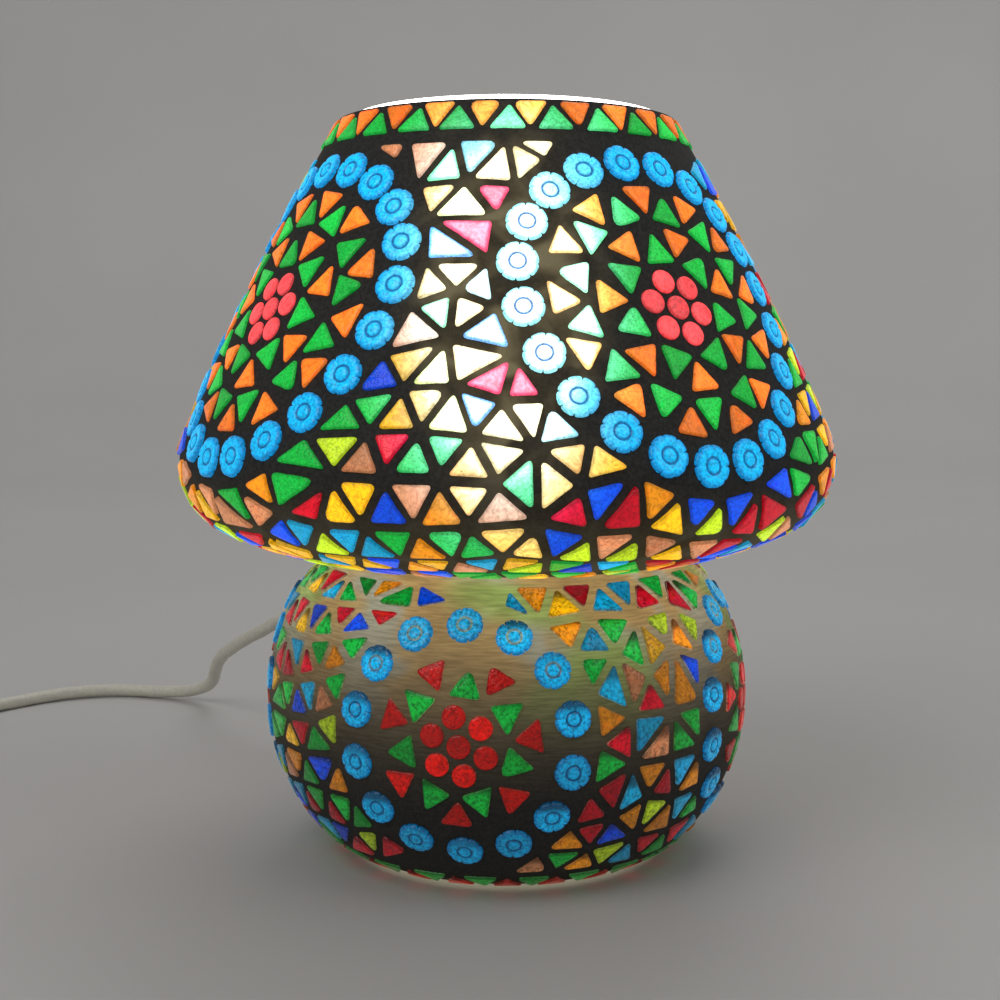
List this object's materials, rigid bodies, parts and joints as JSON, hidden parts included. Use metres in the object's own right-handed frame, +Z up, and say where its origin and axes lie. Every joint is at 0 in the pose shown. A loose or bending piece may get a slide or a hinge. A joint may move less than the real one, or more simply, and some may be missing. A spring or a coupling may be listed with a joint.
{
  "type": "mosaic glass table lamp",
  "caption": "Mushroom-shaped table lamp: one-piece glass body with a conical shade and a globe base, covered in grouted glass mosaic, lit from inside by a screw-in bulb.",
  "frame": {"origin": "centre of the foot ring on the table", "axes": "+Z up along the lamp's axis; the front faces -Y and the cord leaves at the back, towards +Y, and runs round to -X"},
  "size_m": [0.3405, 0.2824, 0.2244],
  "materials": {
    "body_glass": "clear blown glass with a faint haze",
    "grout": "hand-wiped cement grout with fine horizontal streaks",
    "felt": "black felt",
    "zinc_steel": "zinc plated",
    "silicone": "translucent silicone",
    "black_plastic": "matt phenolic",
    "ceramic": "glazed steatite",
    "brass": "bare brass",
    "solder": "dull solder",
    "nickel": "nickel plated",
    "white_plastic": "satin white",
    "opal": "opal diffuser",
    "led_board": "white solder mask on aluminium",
    "led_phosphor": "yellow phosphor",
    "rubber": "moulded rubber",
    "cord_pvc": "cream PVC sheath",
    "switch_plastic": "cream moulded plastic",
    "orange_glass": "stained glass with fine swirls",
    "yellow_glass": "stained glass, granular",
    "amber_glass": "stained glass, granular",
    "lime_glass": "stained glass, granular",
    "green_glass": "stained glass, granular",
    "turquoise_glass": "stained glass, granular",
    "cobalt_glass": "stained glass, granular",
    "blue_glass": "pressed glass",
    "ruby_glass": "stained glass, smooth",
    "red_glass": "stained glass, smooth",
    "pink_glass": "stained glass, smooth",
    "peach_glass": "textured smoky glass"
  },
  "bodies": {
    "lamp": {"base_amber_tiles": "amber_glass", "base_cobalt_tiles": "cobalt_glass", "base_flower_beads": "blue_glass", "base_green_tiles": "green_glass", "base_grout": "grout", "base_lime_tiles": "lime_glass", "base_medallion_discs": "red_glass", "base_medallion_green_tiles": "green_glass", "base_medallion_red_tiles": "red_glass", "base_peach_tiles": "peach_glass", "base_ruby_tiles": "ruby_glass", "base_turquoise_tiles": "turquoise_glass", "base_yellow_tiles": "yellow_glass", "cord_grip": "black_plastic", "cord_grommet": "rubber", "foot_band_green_tiles": "green_glass", "foot_band_red_tiles": "red_glass", "foot_felt": "felt", "glass_body": "body_glass", "holder_cap": "black_plastic", "holder_centre_contact": "brass", "holder_clamp_rings": "black_plastic", "holder_insulator": "ceramic", "holder_screw_shell": "brass", "holder_shell": "black_plastic", "holder_spider": "zinc_steel", "lamp_cord": "cord_pvc", "mains_cord": "cord_pvc", "mouth_band_green_tiles": "green_glass", "mouth_band_orange_tiles": "orange_glass", "plug_body": "switch_plastic", "plug_pins": "nickel", "shade_amber_tiles": "amber_glass", "shade_cobalt_tiles": "cobalt_glass", "shade_flower_beads": "turquoise_glass", "shade_green_tiles": "green_glass", "shade_grout": "grout", "shade_lime_tiles": "lime_glass", "shade_medallion_discs": "pink_glass", "shade_medallion_green_tiles": "green_glass", "shade_medallion_orange_tiles": "orange_glass", "shade_peach_tiles": "peach_glass", "shade_ruby_tiles": "ruby_glass", "shade_turquoise_tiles": "turquoise_glass", "shade_yellow_tiles": "yellow_glass", "spider_pads": "silicone", "switch_contacts": "brass", "switch_lower_half": "switch_plastic", "switch_screws": "zinc_steel", "switch_upper_half": "switch_plastic", "terminal_screws": "brass"},
    "bulb_tip": {"bulb_centre_contact": "solder"},
    "bulb": {"bulb_globe": "opal", "bulb_housing": "white_plastic", "bulb_screw_cap": "nickel", "bulb_insulator": "black_plastic", "led_board": "led_board", "led_chips": "led_phosphor", "led_driver_board": "led_board"},
    "rocker": {"switch_rocker": "switch_plastic"}
  },
  "joints": [
    {"name": "bulb_lift", "type": "slide", "parent": "lamp", "child": "bulb_tip", "axis": [0, 0, 1], "range_m": [0, 0.01816]},
    {"name": "bulb_turn", "type": "hinge", "parent": "bulb_tip", "child": "bulb", "pos_m": [0, 0, 0.15], "axis": [0, 0, 1], "range_deg": [0, 1800]},
    {"name": "rocker_tilt", "type": "hinge", "parent": "lamp", "child": "rocker", "pos_m": [-0.228, 0.078, 0.0145], "axis": [1, 0, 0], "range_deg": [-18, 0]}
  ],
  "couplings": [
    {"joint": "bulb_lift", "follows": "bulb_turn", "m_per_rad": 0.00057757}
  ]
}
